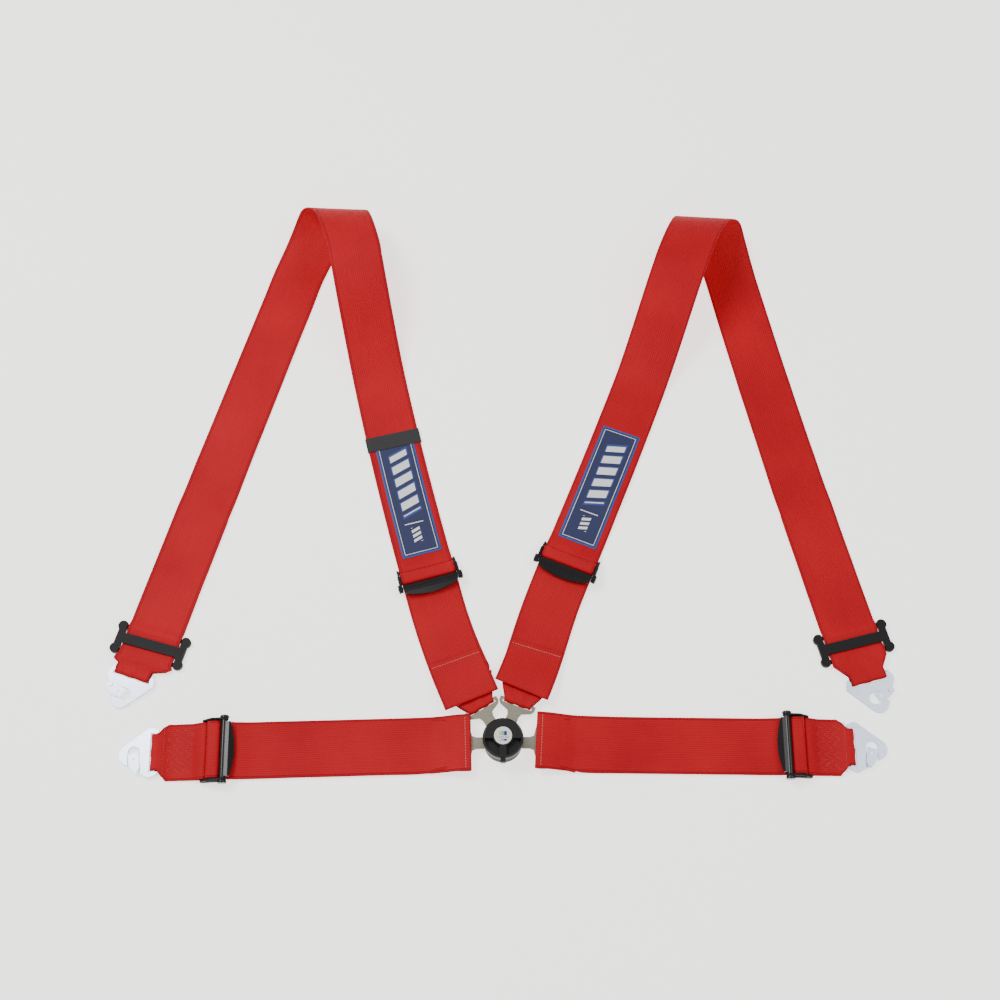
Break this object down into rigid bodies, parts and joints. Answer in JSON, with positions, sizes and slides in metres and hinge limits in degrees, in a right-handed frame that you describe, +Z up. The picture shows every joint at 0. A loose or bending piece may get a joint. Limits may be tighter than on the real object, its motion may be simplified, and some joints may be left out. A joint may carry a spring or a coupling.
{
  "type": "racing harness",
  "caption": "Four point racing harness laid flat: rotary cam lock buckle, wide lap and shoulder straps with lever adjusters, rear slides and snap hooks.",
  "frame": {"origin": "centre of the buckle's round back face, on the surface that the harness lies on", "axes": "+Z up off the surface, +Y from the buckle towards the shoulder belts' crowns, +X along the lap belt to the right"},
  "size_m": [1.0503, 0.8578, 0.0814],
  "materials": {
    "webbing_red": "woven red polyester webbing, 75 mm",
    "steel_zinc": "bright zinc plated steel",
    "steel_nickel": "satin nickel plated steel",
    "black_satin": "satin black coated steel",
    "black_gloss": "gloss black anodised",
    "knob_plastic": "moulded black plastic",
    "badge": "printed plastic badge",
    "label_blue": "woven blue label",
    "elastic_black": "black elastic",
    "spring_steel": "plain steel"
  },
  "bodies": {
    "buckle": {"buckle_back_plate": "black_satin", "buckle_body": "black_satin", "buckle_top_plate": "black_satin", "buckle_rivets": "spring_steel", "latch_spring": "spring_steel", "lap_left_tongue": "steel_nickel"},
    "knob": {"release_knob": "knob_plastic", "knob_badge": "badge", "knob_spindle": "spring_steel", "cam_ring": "spring_steel"},
    "latch": {"latch_plate": "spring_steel"},
    "shoulder_left_tongue": {"shoulder_left_tongue": "steel_nickel"},
    "shoulder_left_belt": {"shoulder_left_pull_strap": "webbing_red", "shoulder_left_strap": "webbing_red", "shoulder_left_label": "label_blue", "shoulder_left_rear_slide": "black_satin", "shoulder_left_adjuster_frame": "black_satin", "shoulder_left_adjuster_pin": "steel_zinc", "keeper_band": "elastic_black"},
    "shoulder_left_lever": {"shoulder_left_adjuster_lever": "black_gloss"},
    "shoulder_left_lock": {"shoulder_left_adjuster_lock_bar": "black_satin"},
    "shoulder_left_hook": {"shoulder_left_hook": "steel_zinc", "shoulder_left_hook_rivet": "steel_zinc"},
    "shoulder_left_gate": {"shoulder_left_hook_gate": "steel_zinc"},
    "shoulder_right_tongue": {"shoulder_right_tongue": "steel_nickel"},
    "shoulder_right_belt": {"shoulder_right_pull_strap": "webbing_red", "shoulder_right_strap": "webbing_red", "shoulder_right_label": "label_blue", "shoulder_right_rear_slide": "black_satin", "shoulder_right_adjuster_frame": "black_satin", "shoulder_right_adjuster_pin": "steel_zinc"},
    "shoulder_right_lever": {"shoulder_right_adjuster_lever": "black_gloss"},
    "shoulder_right_lock": {"shoulder_right_adjuster_lock_bar": "black_satin"},
    "shoulder_right_hook": {"shoulder_right_hook": "steel_zinc", "shoulder_right_hook_rivet": "steel_zinc"},
    "shoulder_right_gate": {"shoulder_right_hook_gate": "steel_zinc"},
    "lap_left_belt": {"lap_left_strap": "webbing_red", "lap_left_anchor_strap": "webbing_red", "lap_left_adjuster_frame": "black_satin", "lap_left_adjuster_pin": "steel_zinc"},
    "lap_left_lever": {"lap_left_adjuster_lever": "black_gloss"},
    "lap_left_lock": {"lap_left_adjuster_lock_bar": "black_satin"},
    "lap_left_hook": {"lap_left_hook": "steel_zinc", "lap_left_hook_rivet": "steel_zinc"},
    "lap_left_gate": {"lap_left_hook_gate": "steel_zinc"},
    "lap_right_tongue": {"lap_right_tongue": "steel_nickel"},
    "lap_right_belt": {"lap_right_strap": "webbing_red", "lap_right_anchor_strap": "webbing_red", "lap_right_adjuster_frame": "black_satin", "lap_right_adjuster_pin": "steel_zinc"},
    "lap_right_lever": {"lap_right_adjuster_lever": "black_gloss"},
    "lap_right_lock": {"lap_right_adjuster_lock_bar": "black_satin"},
    "lap_right_hook": {"lap_right_hook": "steel_zinc", "lap_right_hook_rivet": "steel_zinc"},
    "lap_right_gate": {"lap_right_hook_gate": "steel_zinc"}
  },
  "joints": [
    {"name": "knob_turn", "type": "hinge", "parent": "buckle", "child": "knob", "pos_m": [0, 0, 0.022], "axis": [0, 0, 1], "range_deg": [0, 60], "stiffness_Nm_per_rad": 0.02, "springref_deg": -11.46},
    {"name": "latch_lift", "type": "slide", "parent": "buckle", "child": "latch", "axis": [0, 0, 1], "range_m": [0, 0.0036], "deforming": ["latch_spring"]},
    {"name": "shoulder_left_release", "type": "slide", "parent": "buckle", "child": "shoulder_left_tongue", "axis": [-0.515, 0.8572, 0], "range_m": [0, 0.018]},
    {"name": "shoulder_left_swing", "type": "hinge", "parent": "shoulder_left_tongue", "child": "shoulder_left_belt", "pos_m": [-0.02936, 0.04886, 0.0068], "axis": [0.8572, 0.515, 0], "range_deg": [0, 60]},
    {"name": "shoulder_left_lever_lift", "type": "hinge", "parent": "shoulder_left_belt", "child": "shoulder_left_lever", "pos_m": [-0.09813, 0.22067, 0.013], "axis": [-0.9627, -0.2706, 0], "range_deg": [0, 55]},
    {"name": "shoulder_left_lock_slide", "type": "slide", "parent": "shoulder_left_belt", "child": "shoulder_left_lock", "axis": [-0.2706, 0.9627, 0], "range_m": [0, 0.0012]},
    {"name": "shoulder_left_hook_swivel", "type": "hinge", "parent": "shoulder_left_belt", "child": "shoulder_left_hook", "pos_m": [-0.49151, 0.09226, 0.00465], "axis": [-0.9466, 0.3223, 0], "range_deg": [-30, 60]},
    {"name": "shoulder_left_gate_open", "type": "hinge", "parent": "shoulder_left_hook", "child": "shoulder_left_gate", "pos_m": [-0.51932, 0.07886, 0.00479], "axis": [-0.0202, -0.0594, 0.998], "range_deg": [0, 25], "stiffness_Nm_per_rad": 0.02, "springref_deg": -17.19},
    {"name": "shoulder_right_release", "type": "slide", "parent": "buckle", "child": "shoulder_right_tongue", "axis": [0.3453, 0.9385, 0], "range_m": [0, 0.018]},
    {"name": "shoulder_right_swing", "type": "hinge", "parent": "shoulder_right_tongue", "child": "shoulder_right_belt", "pos_m": [0.01968, 0.05349, 0.0068], "axis": [0.9385, -0.3453, 0], "range_deg": [0, 60]},
    {"name": "shoulder_right_lever_lift", "type": "hinge", "parent": "shoulder_right_belt", "child": "shoulder_right_lever", "pos_m": [0.08459, 0.23962, 0.013], "axis": [-0.9252, 0.3795, 0], "range_deg": [0, 55]},
    {"name": "shoulder_right_lock_slide", "type": "slide", "parent": "shoulder_right_belt", "child": "shoulder_right_lock", "axis": [0.3795, 0.9252, 0], "range_m": [0, 0.0012]},
    {"name": "shoulder_right_hook_swivel", "type": "hinge", "parent": "shoulder_right_belt", "child": "shoulder_right_hook", "pos_m": [0.48457, 0.08645, 0.00465], "axis": [-0.9627, -0.2706, 0], "range_deg": [-30, 60]},
    {"name": "shoulder_right_gate_open", "type": "hinge", "parent": "shoulder_right_hook", "child": "shoulder_right_gate", "pos_m": [0.5116, 0.07156, 0.00479], "axis": [-0.017, 0.0604, -0.998], "range_deg": [0, 25], "stiffness_Nm_per_rad": 0.02, "springref_deg": -17.19},
    {"name": "lap_left_swing", "type": "hinge", "parent": "buckle", "child": "lap_left_belt", "pos_m": [-0.05398, -0.00151, 0.0068], "axis": [-0.0279, 0.9996, 0], "range_deg": [0, 8]},
    {"name": "lap_left_lever_lift", "type": "hinge", "parent": "lap_left_belt", "child": "lap_left_lever", "pos_m": [-0.36236, -0.01012, 0.013], "axis": [0.0279, -0.9996, 0], "range_deg": [0, 55]},
    {"name": "lap_left_lock_slide", "type": "slide", "parent": "lap_left_belt", "child": "lap_left_lock", "axis": [-0.9996, -0.0279, 0], "range_m": [0, 0.0012]},
    {"name": "lap_left_hook_swivel", "type": "hinge", "parent": "lap_left_belt", "child": "lap_left_hook", "pos_m": [-0.45282, -0.01265, 0.00465], "axis": [-0.0279, 0.9996, 0], "range_deg": [-30, 60]},
    {"name": "lap_left_gate_open", "type": "hinge", "parent": "lap_left_hook", "child": "lap_left_gate", "pos_m": [-0.47385, -0.03524, 0.00479], "axis": [0.0628, 0.0018, -0.998], "range_deg": [0, 25], "stiffness_Nm_per_rad": 0.02, "springref_deg": -17.19},
    {"name": "lap_right_release", "type": "slide", "parent": "buckle", "child": "lap_right_tongue", "axis": [0.9999, -0.0122, 0], "range_m": [0, 0.018]},
    {"name": "lap_right_swing", "type": "hinge", "parent": "lap_right_tongue", "child": "lap_right_belt", "pos_m": [0.054, -0.00066, 0.0068], "axis": [-0.0122, -0.9999, 0], "range_deg": [0, 8]},
    {"name": "lap_right_lever_lift", "type": "hinge", "parent": "lap_right_belt", "child": "lap_right_lever", "pos_m": [0.37047, -0.00453, 0.013], "axis": [0.0122, 0.9999, 0], "range_deg": [0, 55]},
    {"name": "lap_right_lock_slide", "type": "slide", "parent": "lap_right_belt", "child": "lap_right_lock", "axis": [0.9999, -0.0122, 0], "range_m": [0, 0.0012]},
    {"name": "lap_right_hook_swivel", "type": "hinge", "parent": "lap_right_belt", "child": "lap_right_hook", "pos_m": [0.45297, -0.00553, 0.00465], "axis": [-0.0122, -0.9999, 0], "range_deg": [-30, 60]},
    {"name": "lap_right_gate_open", "type": "hinge", "parent": "lap_right_hook", "child": "lap_right_gate", "pos_m": [0.47435, -0.0278, 0.00479], "axis": [0.0628, -0.0008, 0.998], "range_deg": [0, 25], "stiffness_Nm_per_rad": 0.02, "springref_deg": -17.19}
  ],
  "couplings": [
    {"joint": "latch_lift", "follows": "knob_turn", "m_per_rad": 0.0034374}
  ]
}
